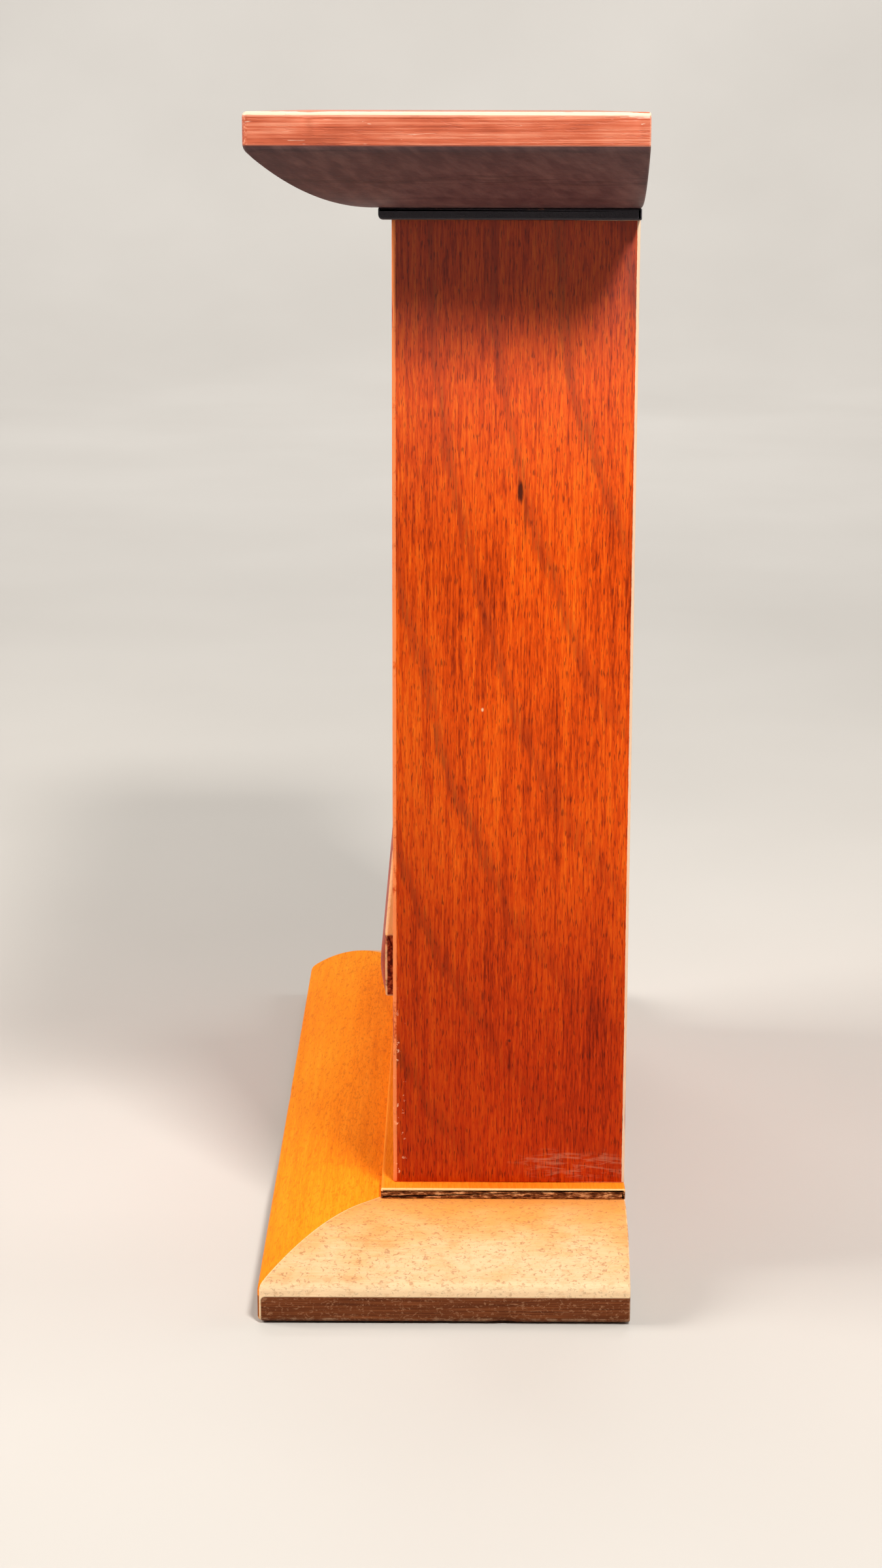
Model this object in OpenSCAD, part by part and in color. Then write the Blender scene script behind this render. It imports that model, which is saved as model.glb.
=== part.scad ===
// Tabletop stand for a photo album: a shallow open case between a moulded base and a cornice.
// Origin at the middle of the footprint on the table, +Z up, the open front faces -Y.

/* [Case] */
// Width across the two side panels
case_w = 218; // [190:1:250]
// Depth of the case, front edge to back edge
case_d = 62; // [56:1:80]
// Height of the side panels
panel_h = 254; // [220:1:300]
// Thickness of a side panel
panel_t = 12; // [12:0.5:16]
// Radius on the upright edges of a side panel
panel_ease = 1.2; // [0.6:0.1:2]
// Thickness of the back panel
back_t = 6; // [5:0.5:8]
// Width of the rabbet that holds the back panel
rabbet_w = 8; // [7:0.5:8]

/* [Base and cornice] */
// How far the mouldings stand out past the case at the front and sides
overhang = 34.5; // [32:0.5:36]
// Width of a moulding strip
strip_w = 32; // [32:0.5:34]
// Height of the plain band on the base
base_band = 7; // [5:0.1:9]
// Height of the plain band on the cornice
cornice_band = 7.7; // [5:0.1:9]
// Height of the rounded part of a moulding
round_h = 15.5; // [13:0.1:18]
// Width of the rounded part of the base moulding
base_round_w = 26; // [22:0.5:31]
// Width of the rounded part of the cornice moulding
cornice_round_w = 31; // [22:0.5:31]
// Thickness of a fillet board
fillet_t = 2.9; // [2.5:0.1:4]
// How far a fillet board stands out past the front of the case
fillet_front = 3.2; // [3:0.1:4]
// How far a fillet board stands out past the sides of the case
fillet_side = 4.8; // [3:0.1:5]

/* [Retaining rail] */
// Height of the rail's lower edge above the base fillet board
rail_rise = 50.9; // [30:0.1:80]
// Height of the rail
rail_h = 17.2; // [12:0.1:24]
// Thickness of the rail at its edges
rail_edge_t = 7; // [6.5:0.1:9]
// How much thicker the rail is at its crown
rail_crown = 1.4; // [0.5:0.1:3]
// Depth of the housings that the rail's ends sit in
rail_housing = 5; // [4:0.1:6]
// Distance from the rail's ends to the outer faces of the case
rail_inset = 4; // [3:0.5:6]
// Length over which each end of the rail falls away from its crown
rail_fall = 5; // [2:1:60]

/* [Fixings] */
// Diameter of the dowels in the mouldings and the cornice
dowel_d = 6; // [5:0.5:8]
// Length of a dowel between a moulding and its core board
strip_dowel_len = 24; // [20:1:28]
// Depth of a cornice dowel in the core board
cornice_dowel_up = 12; // [8:1:15]
// Depth of a cornice dowel in a side panel
cornice_dowel_down = 15; // [10:1:20]
// Diameter of the rail dowels
rail_dowel_d = 4; // [3:0.5:5]
// Length of a rail dowel
rail_dowel_len = 16; // [12:1:20]
// Diameter of a base screw
base_screw_d = 4; // [3:0.5:4.5]
// Length of a base screw
base_screw_len = 45; // [40:1:50]
// Diameter of a back screw
back_screw_d = 2.5; // [2:0.5:3]
// Length of a back screw
back_screw_len = 16; // [12:1:20]
// Diameter of a felt pad
pad_d = 16; // [12:1:20]
// Thickness of a felt pad
pad_t = 1.5; // [1.2:0.1:2]
// Depth of the recess for a felt pad
pad_recess = 1; // [0.5:0.1:1]
// Distance of the side panels' screws and dowels from the front and back of the case
fixing_inset = 18; // [16:1:20]
// Distance of the side mouldings' dowels from the front and back of the case
dowel_inset = 6; // [5:0.5:7]
// Distance between neighbouring dowels of a front moulding
front_dowel_gap = 80; // [50:5:85]
// Distance of the outer back screws from the ends of the back panel
back_screw_inset = 30; // [20:5:50]
// Distance between the two front pads, centre to centre
front_pad_span = 200; // [140:10:200]
// Distance of the back pads' centres from the back
back_pad_inset = 12; // [11:1:20]

/* [Hidden] */

$fn = 64;
hole_gap = 0.05;      // radial room round a dowel or a screw
hole_spare = 1;       // room past the end of a dowel or a screw
through = 1;          // overshoot of a through cut
sink_gap = 0.3;       // how deep a screw head lies below the surface

full_w = case_w + 2 * overhang;
full_d = case_d + overhang;
front_y = -full_d / 2;                   // front of the mouldings
case_front_y = front_y + overhang;
back_y = full_d / 2;                     // shared flat back

base_z = pad_t - pad_recess;             // underside of the base
base_t = base_band + round_h;
base_fillet_z = base_z + base_t;
floor_z = base_fillet_z + fillet_t;
ceiling_z = floor_z + panel_h;
cornice_t = cornice_band + round_h;
cornice_core_z = ceiling_z + fillet_t;
top_z = cornice_core_z + cornice_t;

core_w = full_w - 2 * strip_w;
core_front_y = front_y + strip_w;
core_d = full_d - strip_w;

panel_mid_x = case_w / 2 - panel_t / 2;  // centre plane of a side panel
fixing_ys = [case_front_y + fixing_inset, back_y - fixing_inset];
front_dowel_xs = [-front_dowel_gap, 0, front_dowel_gap];
side_dowel_ys = [case_front_y + dowel_inset, back_y - dowel_inset];
front_pad = [front_pad_span / 2, front_y + strip_w / 2];
back_pad = [full_w / 2 - strip_w / 2, back_y - back_pad_inset];

rail_z = floor_z + rail_rise;
rail_mid_z = rail_z + rail_h / 2;
rail_len = case_w - 2 * rail_inset;
rail_back_y = case_front_y + rail_housing;
rail_peg_x = case_w / 2 - panel_t + (panel_t - rail_inset) / 2;
rail_peg_depth = 5;                      // depth of a rail dowel in the rail
rail_plan_spare = 0.2;                   // gap between the rail's plan and its crown, and at its ends

back_screw_x = case_w / 2 - panel_t + rabbet_w / 2;
back_screw_zs = [
    floor_z + back_screw_inset,
    floor_z + panel_h / 2,
    ceiling_z - back_screw_inset
];

orange = [0.86, 0.36, 0.06];
red_orange = [0.72, 0.20, 0.06];
tan_wood = [0.88, 0.60, 0.36];
dark_wood = [0.25, 0.13, 0.08];
pale_wood = [0.80, 0.65, 0.45];

// Radius of an arc that rises by h over a width w and ends level
function arc_r(w, h) = (w * w + h * h) / (2 * h);

// Section of a moulding: x runs inward from its outer edge, y away from the board's flat face
module moulding_section(band, round_w) {
    r = arc_r(round_w, round_h);
    square([strip_w, band]);
    translate([round_w, 0]) square([strip_w - round_w, band + round_h]);
    intersection() {
        square([round_w + (strip_w - round_w) / 2, band + round_h]);
        translate([round_w, band + round_h - r]) circle(r = r, $fn = 180);
    }
}

// Outline of the front strip seen from above, mitred at both ends
module front_plan() {
    polygon([
        [-full_w / 2, front_y],
        [full_w / 2, front_y],
        [full_w / 2 - strip_w, core_front_y],
        [-full_w / 2 + strip_w, core_front_y]
    ]);
}

// Outline of the left strip seen from above, mitred at its front end
module left_plan() {
    polygon([
        [-full_w / 2, front_y],
        [-full_w / 2 + strip_w, core_front_y],
        [-full_w / 2 + strip_w, back_y],
        [-full_w / 2, back_y]
    ]);
}

// Front strip, flat face on z = 0
module front_strip(band, round_w) {
    intersection() {
        translate([-full_w / 2, front_y, 0])
            rotate([90, 0, 90]) linear_extrude(full_w) moulding_section(band, round_w);
        linear_extrude(band + round_h) front_plan();
    }
}

// Left strip, flat face on z = 0
module left_strip(band, round_w) {
    intersection() {
        translate([-full_w / 2, back_y, 0])
            rotate([90, 0, 0]) linear_extrude(full_d) moulding_section(band, round_w);
        linear_extrude(band + round_h) left_plan();
    }
}

// Rods across the joint between the front strip and the core board
module front_rods(r, len, z) {
    for (x = front_dowel_xs)
        translate([x, core_front_y, z]) rotate([90, 0, 0]) cylinder(r = r, h = len, center = true);
}

// Rods across the joint between the left strip and the core board
module left_rods(r, len, z) {
    for (y = side_dowel_ys)
        translate([-core_w / 2, y, z]) rotate([0, 90, 0]) cylinder(r = r, h = len, center = true);
}

// All seven rods of one board
module board_rods(r, len, z) {
    front_rods(r, len, z);
    left_rods(r, len, z);
    mirror([1, 0, 0]) left_rods(r, len, z);
}

module strip_holes(z) {
    board_rods(dowel_d / 2 + hole_gap, strip_dowel_len + 2 * hole_spare, z);
}

// Upright rods at the four fixing points of the side panels
module panel_rods(r, z, len) {
    for (side = [-1, 1], y = fixing_ys)
        translate([side * panel_mid_x, y, z]) cylinder(r = r, h = len);
}

// Straight rim under the flat of a screw head, for a shank of diameter d
function head_rim(d) = 0.1 * d;

// Countersunk screw with a cross recess, head at z = 0 and point up
module screw(d, len) {
    head_r = d;
    cone_h = d / 2;
    point_h = 1.5 * d;
    recess = [1.1 * d, 0.22 * d, 0.7 * d];
    difference() {
        rotate_extrude() polygon([
            [0, 0],
            [head_r, 0],
            [head_r, head_rim(d)],
            [d / 2, head_rim(d) + cone_h],
            [d / 2, len - point_h],
            [0, len]
        ]);
        for (turn = [0, 90]) rotate([0, 0, turn]) cube(recess, center = true);
    }
}

// Hole that a countersunk screw fills, open below z = 0
module screw_hole(d, len) {
    head_r = d + hole_gap;
    shank_r = d / 2 + hole_gap;
    rim = head_rim(d) + hole_gap;
    translate([0, 0, -through]) cylinder(r = head_r, h = through + rim);
    translate([0, 0, rim]) cylinder(r1 = head_r, r2 = shank_r, h = d / 2);
    cylinder(r = shank_r, h = len + hole_spare);
}

// Places its children at the four base screws
module at_base_screws() {
    for (side = [-1, 1], y = fixing_ys)
        translate([side * panel_mid_x, y, base_z + sink_gap]) children();
}

// Places its children at the six back screws
module at_back_screws() {
    for (side = [-1, 1], z = back_screw_zs)
        translate([side * back_screw_x, back_y - sink_gap, z]) rotate([90, 0, 0]) children();
}

// Places its children at the two rail dowels, centred on the rail's back face
module at_rail_dowels() {
    for (side = [-1, 1])
        translate([side * rail_peg_x, rail_back_y, rail_mid_z]) children();
}

module rail_rod(r, spare) {
    rotate([-90, 0, 0])
        translate([0, 0, -rail_peg_depth - spare])
            cylinder(r = r, h = rail_dowel_len + 2 * spare);
}

module pad_discs(r, z, h) {
    for (side = [-1, 1], spot = [front_pad, back_pad])
        translate([side * spot[0], spot[1], z]) cylinder(r = r, h = h);
}

module pad_recesses() {
    pad_discs(pad_d / 2 + hole_gap, base_z - through, through + pad_recess);
}

// Core board without holes, underside on z = 0
module core_blank(t) {
    translate([-core_w / 2, core_front_y, 0]) cube([core_w, core_d, t]);
}

module fillet_blank() {
    translate([-case_w / 2 - fillet_side, case_front_y - fillet_front, 0])
        cube([case_w + 2 * fillet_side, case_d + fillet_front, fillet_t]);
}

module base_core_board() {
    color(pale_wood) difference() {
        translate([0, 0, base_z]) core_blank(base_t);
        strip_holes(base_z + base_t / 2);
        at_base_screws() screw_hole(base_screw_d, base_screw_len);
    }
}

module base_front_moulding() {
    color(orange) difference() {
        translate([0, 0, base_z]) front_strip(base_band, base_round_w);
        strip_holes(base_z + base_t / 2);
        pad_recesses();
    }
}

module base_left_moulding() {
    color(tan_wood) difference() {
        translate([0, 0, base_z]) left_strip(base_band, base_round_w);
        strip_holes(base_z + base_t / 2);
        pad_recesses();
    }
}

module base_right_moulding() {
    color(tan_wood) difference() {
        translate([0, 0, base_z]) mirror([1, 0, 0]) left_strip(base_band, base_round_w);
        strip_holes(base_z + base_t / 2);
        pad_recesses();
    }
}

module base_fillet_board() {
    color(orange) difference() {
        translate([0, 0, base_fillet_z]) fillet_blank();
        at_base_screws() screw_hole(base_screw_d, base_screw_len);
    }
}

module cornice_core_board() {
    color(pale_wood) difference() {
        translate([0, 0, cornice_core_z]) core_blank(cornice_t);
        strip_holes(cornice_core_z + cornice_t / 2);
        cornice_panel_holes();
    }
}

module cornice_panel_holes() {
    panel_rods(
        dowel_d / 2 + hole_gap,
        ceiling_z - cornice_dowel_down - hole_spare,
        cornice_dowel_down + fillet_t + cornice_dowel_up + 2 * hole_spare
    );
}

module cornice_front_moulding() {
    color(red_orange) difference() {
        translate([0, 0, top_z]) mirror([0, 0, 1]) front_strip(cornice_band, cornice_round_w);
        strip_holes(cornice_core_z + cornice_t / 2);
    }
}

module cornice_left_moulding() {
    color(red_orange) difference() {
        translate([0, 0, top_z]) mirror([0, 0, 1]) left_strip(cornice_band, cornice_round_w);
        strip_holes(cornice_core_z + cornice_t / 2);
    }
}

module cornice_right_moulding() {
    color(red_orange) difference() {
        translate([0, 0, top_z]) mirror([0, 0, 1]) mirror([1, 0, 0])
            left_strip(cornice_band, cornice_round_w);
        strip_holes(cornice_core_z + cornice_t / 2);
    }
}

module cornice_fillet_board() {
    color(dark_wood) difference() {
        translate([0, 0, ceiling_z]) fillet_blank();
        cornice_panel_holes();
    }
}

// Level section of the right panel, with eased upright edges and the rabbet for the back
module panel_plan() {
    r = panel_ease;
    inner_x = case_w / 2 - panel_t;
    difference() {
        union() {
            translate([inner_x, case_front_y + r]) square([panel_t, case_d - 2 * r]);
            translate([inner_x + r, case_front_y]) square([panel_t - 2 * r, case_d]);
            for (x = [inner_x + r, case_w / 2 - r], y = [case_front_y + r, back_y - r])
                translate([x, y]) circle(r = r, $fn = 32);
        }
        translate([inner_x - through, back_y - back_t])
            square([rabbet_w + through, back_t + through]);
    }
}

module right_panel_shape() {
    difference() {
        translate([0, 0, floor_z]) linear_extrude(panel_h) panel_plan();
        translate([0, case_front_y - through, rail_z])
            cube([rail_len / 2, rail_housing + through, rail_h]);
        at_base_screws() screw_hole(base_screw_d, base_screw_len);
        at_back_screws() screw_hole(back_screw_d, back_screw_len);
        at_rail_dowels() rail_rod(rail_dowel_d / 2 + hole_gap, hole_spare);
        cornice_panel_holes();
    }
}

module right_side_panel() {
    color(red_orange) right_panel_shape();
}

module left_side_panel() {
    color(red_orange) mirror([1, 0, 0]) right_panel_shape();
}

module back_panel() {
    w = case_w - 2 * (panel_t - rabbet_w);
    color(red_orange) difference() {
        translate([-w / 2, back_y - back_t, floor_z]) cube([w, back_t, panel_h]);
        at_back_screws() screw_hole(back_screw_d, back_screw_len);
    }
}

// Rail seen from above: level along its middle, falling away in an arc at each end
module rail_plan() {
    level = rail_len / 2 - rail_fall;
    full_t = rail_edge_t + rail_crown + rail_plan_spare;
    r = arc_r(rail_fall, rail_crown + 2 * rail_plan_spare);
    translate([-level, -full_t]) square([2 * level, full_t]);
    for (flip = [0, 1]) mirror([flip, 0]) intersection() {
        translate([0, -full_t]) square([rail_len / 2, full_t]);
        translate([level, r - full_t]) circle(r = r, $fn = 360);
    }
}

module retaining_rail() {
    full_t = rail_edge_t + rail_crown;
    r = arc_r(rail_h / 2, rail_crown);
    color(orange) difference() {
        intersection() {
            translate([0, rail_back_y, rail_z]) linear_extrude(rail_h) rail_plan();
            translate([0, rail_back_y - full_t + r, rail_mid_z])
                rotate([0, 90, 0]) cylinder(r = r, h = rail_len, center = true, $fn = 180);
        }
        at_rail_dowels() rail_rod(rail_dowel_d / 2 + hole_gap, hole_spare);
    }
}

module base_moulding_dowels() {
    color(pale_wood) board_rods(dowel_d / 2, strip_dowel_len, base_z + base_t / 2);
}

module cornice_moulding_dowels() {
    color(pale_wood) board_rods(dowel_d / 2, strip_dowel_len, cornice_core_z + cornice_t / 2);
}

module cornice_panel_dowels() {
    color(pale_wood) panel_rods(
        dowel_d / 2,
        ceiling_z - cornice_dowel_down,
        cornice_dowel_down + fillet_t + cornice_dowel_up
    );
}

module rail_dowels() {
    color(pale_wood) at_rail_dowels() rail_rod(rail_dowel_d / 2, 0);
}

module base_panel_screws() {
    color("silver") at_base_screws() screw(base_screw_d, base_screw_len);
}

module back_panel_screws() {
    color("gold") at_back_screws() screw(back_screw_d, back_screw_len);
}

module felt_pads() {
    color("dimgray") pad_discs(pad_d / 2, 0, pad_t);
}

base_core_board();
base_front_moulding();
base_left_moulding();
base_right_moulding();
base_fillet_board();
cornice_core_board();
cornice_front_moulding();
cornice_left_moulding();
cornice_right_moulding();
cornice_fillet_board();
left_side_panel();
right_side_panel();
back_panel();
retaining_rail();
base_moulding_dowels();
cornice_moulding_dowels();
cornice_panel_dowels();
rail_dowels();
base_panel_screws();
back_panel_screws();
felt_pads();
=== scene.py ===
"""Looks for the photo album stand: a wooden case between a moulded base and a cornice.

Metres, in the CAD's own frame: +Z up, the open front faces -Y, the camera looks along -X.
"""

import math

import bmesh
import bpy
from mathutils import Matrix, Vector, noise


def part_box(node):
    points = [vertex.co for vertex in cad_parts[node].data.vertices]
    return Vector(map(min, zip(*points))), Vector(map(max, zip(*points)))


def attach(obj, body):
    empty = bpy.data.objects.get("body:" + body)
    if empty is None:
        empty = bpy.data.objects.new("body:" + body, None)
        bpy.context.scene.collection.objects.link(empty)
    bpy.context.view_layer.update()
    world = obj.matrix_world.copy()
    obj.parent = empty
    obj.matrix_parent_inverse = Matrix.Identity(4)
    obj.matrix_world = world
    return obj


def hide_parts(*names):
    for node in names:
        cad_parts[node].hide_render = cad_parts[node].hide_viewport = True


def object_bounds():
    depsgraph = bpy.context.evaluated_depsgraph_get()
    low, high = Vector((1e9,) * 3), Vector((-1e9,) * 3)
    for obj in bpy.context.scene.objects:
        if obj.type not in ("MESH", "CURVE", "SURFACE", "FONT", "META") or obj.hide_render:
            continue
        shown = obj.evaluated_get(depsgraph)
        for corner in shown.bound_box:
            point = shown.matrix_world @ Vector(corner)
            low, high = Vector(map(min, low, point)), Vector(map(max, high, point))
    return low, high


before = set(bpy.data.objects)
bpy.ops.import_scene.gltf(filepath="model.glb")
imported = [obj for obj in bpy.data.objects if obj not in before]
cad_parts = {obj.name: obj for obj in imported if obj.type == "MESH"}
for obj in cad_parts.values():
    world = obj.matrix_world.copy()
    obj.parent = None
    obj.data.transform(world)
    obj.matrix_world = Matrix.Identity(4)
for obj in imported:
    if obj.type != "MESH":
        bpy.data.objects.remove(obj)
cad_lo, cad_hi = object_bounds()

MM = 0.001

# Places, from the frame
CASE_LO, CASE_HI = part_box("left_side_panel")[0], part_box("right_side_panel")[1]
PANEL_IN_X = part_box("right_side_panel")[0].x
FRONT_Y, BACK_Y = cad_lo.y, cad_hi.y
HALF_W = cad_hi.x
BASE_LO, BASE_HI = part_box("base_core_board")
CORNICE_LO, CORNICE_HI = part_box("cornice_core_board")
BASE_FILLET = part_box("base_fillet_board")
RAIL_LO, RAIL_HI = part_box("retaining_rail")
STRIP_W = BASE_LO.y - FRONT_Y

# Moulding section: the height is the CAD's; the curve is the real one, where the CAD has a plain arc
ROUND_H = 15.5 * MM
BASE_ROUND_W, BASE_RISE, BASE_BEND = 26 * MM, 2.6 * MM, 1.9
CORNICE_ROUND_W, CORNICE_RISE, CORNICE_BEND = STRIP_W, 1.0 * MM, 2.12
CORNER_R = 1.2 * MM  # of the eased corner at the flat face, and of the base's dark band
BASE_BAND = BASE_HI.z - BASE_LO.z - ROUND_H
CORNICE_BAND = CORNICE_HI.z - CORNICE_LO.z - ROUND_H

# Eased ends and edges
CAP_INSET = 0.7 * MM  # from an end's eased rim to the flat middle, which shows no wear
END_EASE = 0.5 * MM
RING_STEP = 1.6 * MM
SMOOTH_BELOW = math.radians(32)
BEVEL_ABOVE = math.radians(40)


# ---------------------------------------------------------------- camera and studio


def make_camera():
    """From the right-hand side, at the height of the cornice, looking a little down."""
    place = (0.8453, 0.0028, 0.3072)
    azimuth, downwards, lean = 90.307, 13.113, 0.115
    cam = bpy.data.objects.new("camera", bpy.data.cameras.new("camera"))
    bpy.context.scene.collection.objects.link(cam)
    cam.data.lens = 66.78
    cam.data.sensor_width = 36
    cam.data.clip_start = 0.01
    cam.location = place
    turn = Matrix.Rotation(math.radians(azimuth), 4, "Z")
    tilt = Matrix.Rotation(math.radians(90 - downwards), 4, "X")
    roll = Matrix.Rotation(math.radians(lean), 4, "Z")
    cam.rotation_euler = (turn @ tilt @ roll).to_euler()
    bpy.context.scene.camera = cam


def set_tone():
    """Plain sRGB, so that the strong orange stains keep their colour."""
    bpy.context.scene.view_settings.view_transform = "Standard"


def softbox(name, place, target, size, power, color):
    """A rectangular area light at place that faces target."""
    data = bpy.data.lights.new(name, "AREA")
    data.shape = "RECTANGLE"
    data.size, data.size_y = size
    data.energy = power
    data.color = color
    lamp = bpy.data.objects.new(name, data)
    bpy.context.scene.collection.objects.link(lamp)
    lamp.location = place
    lamp.rotation_euler = (Vector(target) - Vector(place)).to_track_quat("-Z", "Y").to_euler()


# ---------------------------------------------------------------- shader fields


class Field:
    """A number at each point of a surface; arithmetic on it adds math nodes."""

    def __init__(self, tree, socket):
        self.tree = tree
        self.socket = socket

    def op(self, name, *others):
        node = self.tree.nodes.new("ShaderNodeMath")
        node.operation = name
        for i, value in enumerate((self, *others)):
            if isinstance(value, Field):
                self.tree.links.new(value.socket, node.inputs[i])
            else:
                node.inputs[i].default_value = value
        return Field(self.tree, node.outputs[0])

    def __add__(self, other):
        return self.op("ADD", other)

    def __sub__(self, other):
        return self.op("SUBTRACT", other)

    def __mul__(self, other):
        return self.op("MULTIPLY", other)

    def __rsub__(self, other):
        return (self * -1) + other

    def __truediv__(self, other):
        return self.op("DIVIDE", other)

    def absolute(self):
        return self.op("ABSOLUTE")

    def root(self):
        return self.op("SQRT")

    def fraction(self):
        return self.op("FRACT")

    def greater(self, other):
        return self.op("MAXIMUM", other)

    def step(self, low, high):
        """0 at low, 1 at high, smooth between; low may be above high."""
        node = self.tree.nodes.new("ShaderNodeMapRange")
        node.interpolation_type = "SMOOTHSTEP"
        self.tree.links.new(self.socket, node.inputs["Value"])
        ends = (low, high, 0.0, 1.0) if low < high else (high, low, 1.0, 0.0)
        for key, value in zip(("From Min", "From Max", "To Min", "To Max"), ends):
            node.inputs[key].default_value = value
        return Field(self.tree, node.outputs["Result"])


class Surface:
    """One node material, with helpers that work in the object's own coordinates."""

    def __init__(self, name):
        self.material = bpy.data.materials.new(name)
        self.material.use_nodes = True
        self.tree = self.material.node_tree
        self.bsdf = self.tree.nodes["Principled BSDF"]
        self.coords = self.tree.nodes.new("ShaderNodeTexCoord").outputs["Object"]
        split = self.tree.nodes.new("ShaderNodeSeparateXYZ")
        self.tree.links.new(self.coords, split.inputs[0])
        self.x, self.y, self.z = (Field(self.tree, s) for s in split.outputs)

    def combine(self, x, y, z):
        """Coordinates made of three fields, for a pattern that runs at a slant."""
        node = self.tree.nodes.new("ShaderNodeCombineXYZ")
        for i, value in enumerate((x, y, z)):
            self.tree.links.new(value.socket, node.inputs[i])
        return node.outputs[0]

    def noise(self, per_metre, detail=2.0, rough=0.5, shift=0.0, warp=0.0, at=None):
        """Noise whose features per metre differ along x, y and z."""
        scale = self.tree.nodes.new("ShaderNodeVectorMath")
        scale.operation = "MULTIPLY_ADD"
        self.tree.links.new(at or self.coords, scale.inputs[0])
        scale.inputs[1].default_value = per_metre
        scale.inputs[2].default_value = (shift, shift * 0.7, shift * 1.3)
        node = self.tree.nodes.new("ShaderNodeTexNoise")
        self.tree.links.new(scale.outputs[0], node.inputs["Vector"])
        node.inputs["Scale"].default_value = 1.0
        node.inputs["Detail"].default_value = detail
        node.inputs["Roughness"].default_value = rough
        node.inputs["Distortion"].default_value = warp
        return Field(self.tree, node.outputs["Fac"])

    def edge(self):
        """1 on the eased edges, 0 on the faces between them."""
        node = self.tree.nodes.new("ShaderNodeAttribute")
        node.attribute_name = "edge"
        return Field(self.tree, node.outputs["Fac"])

    def mix(self, factor, first, second, blend="MIX"):
        """From the first colour at factor 0 to the second at 1; the second may be plain numbers."""
        node = self.tree.nodes.new("ShaderNodeMix")
        node.data_type = "RGBA"
        node.blend_type = blend
        factor_in, first_in, second_in = node.inputs[0], node.inputs[6], node.inputs[7]
        self.tree.links.new(factor.socket, factor_in)
        self.tree.links.new(first, first_in)
        if isinstance(second, bpy.types.NodeSocket):
            self.tree.links.new(second, second_in)
        else:
            second_in.default_value = (*second, 1.0)
        return node.outputs[2]

    def ramp(self, factor, *stops):
        """A colour ramp; each stop is a place from 0 to 1 and its colour."""
        node = self.tree.nodes.new("ShaderNodeValToRGB")
        self.tree.links.new(factor.socket, node.inputs[0])
        elements = node.color_ramp.elements
        while len(elements) < len(stops):
            elements.new(0.5)
        for element, (place, color) in zip(elements, stops):
            element.position = place
            element.color = (*color, 1.0)
        return node.outputs[0]

    def finish(self, color, roughness, height, depth, coat=0.0, coat_roughness=0.2, specular=0.5):
        """Joins colour, roughness and relief (height times depth in metres) to the shader."""
        self.tree.links.new(color, self.bsdf.inputs["Base Color"])
        self.tree.links.new(roughness.socket, self.bsdf.inputs["Roughness"])
        bump = self.tree.nodes.new("ShaderNodeBump")
        bump.inputs["Strength"].default_value = 1.0
        bump.inputs["Distance"].default_value = depth
        self.tree.links.new(height.socket, bump.inputs["Height"])
        self.tree.links.new(bump.outputs[0], self.bsdf.inputs["Normal"])
        self.bsdf.inputs["Coat Weight"].default_value = coat
        self.bsdf.inputs["Coat Roughness"].default_value = coat_roughness
        self.bsdf.inputs["Specular IOR Level"].default_value = specular
        return self.material


# ---------------------------------------------------------------- wood


def along(axis, lengthwise, across):
    """Features per metre along the grain and across it, as x, y, z."""
    return tuple(lengthwise if name == axis else across for name in "xyz")


class Wood:
    """Growth layers, fibres and pores of one board whose grain runs along axis.

    The layers are shells round the centre, squashed by a factor along x, y and z.
    """

    def __init__(self, name, axis, centre, squash, ring=9 * MM, phase=0.0, seed=0.0):
        s = self.surface = Surface(name)
        sway = s.noise(along(axis, 9, 24), detail=2, shift=seed + 3) - 0.5
        ripple = s.noise(along(axis, 34, 170), detail=2, shift=seed + 9) - 0.5
        jag = s.noise(along(axis, 70, 1500), detail=2, shift=seed + 10) - 0.5
        squares = None
        for position, middle, factor in zip((s.x, s.y, s.z), centre, squash):
            offset = (position - middle) * factor
            squares = offset * offset if squares is None else squares + offset * offset
        radius = squares.root() + sway * (9 * MM) + ripple * (3 * MM) + jag * (4.5 * MM)
        turn = (radius / ring + phase).fraction()
        self.late = turn.step(0.76, 0.92) * turn.step(1.0, 0.94)
        self.fibre = s.noise(along(axis, 150, 1900), detail=3, rough=0.70, shift=seed + 1)
        self.strand = s.noise(along(axis, 14, 420), detail=2, rough=0.6, shift=seed + 2)
        self.cloud = s.noise(along(axis, 11, 24), detail=3, rough=0.55, shift=seed + 5)
        self.ribbon = s.noise(along(axis, 22, 850), detail=3, rough=0.7, shift=seed + 6)
        self.pore = s.noise(along(axis, 330, 3000), detail=1, shift=seed + 7).step(0.58, 0.68)
        self.grit = s.noise((1500, 1500, 1500), detail=2, rough=0.7, shift=seed + 8)

    def relief(self):
        """0 to about 1: raised strands, sunk pores."""
        return self.fibre * 0.5 + self.strand * 0.35 - self.pore * 0.6 + self.grit * 0.12


def edge_wear_and_highlight(s, amount, seed=0.0):
    """Pale eased edges: where they have lost their stain, and on some parts a painted highlight along
    them; a larger amount bares more of them.
    """
    edge = s.edge()
    long_patches = s.noise((38, 38, 38), detail=3, rough=0.6, shift=seed + 11)
    chips = s.noise((420, 420, 420), detail=3, rough=0.7, shift=seed + 13)
    return (edge * 1.1 + long_patches * 0.8 + chips * 0.7 + (amount - 1.85)).step(-0.06, 0.12)


def spot(s, y, z, half_width, half_height):
    """1 inside a small frayed ellipse on a side face, fading at its rim."""
    across = (s.y - y) / half_width
    upright = (s.z - z) / half_height
    fray = s.noise((500, 500, 160), detail=3, rough=0.6, shift=31) - 0.5
    return ((across * across + upright * upright).root() + fray * 1.2).step(1.25, 0.45)


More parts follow.
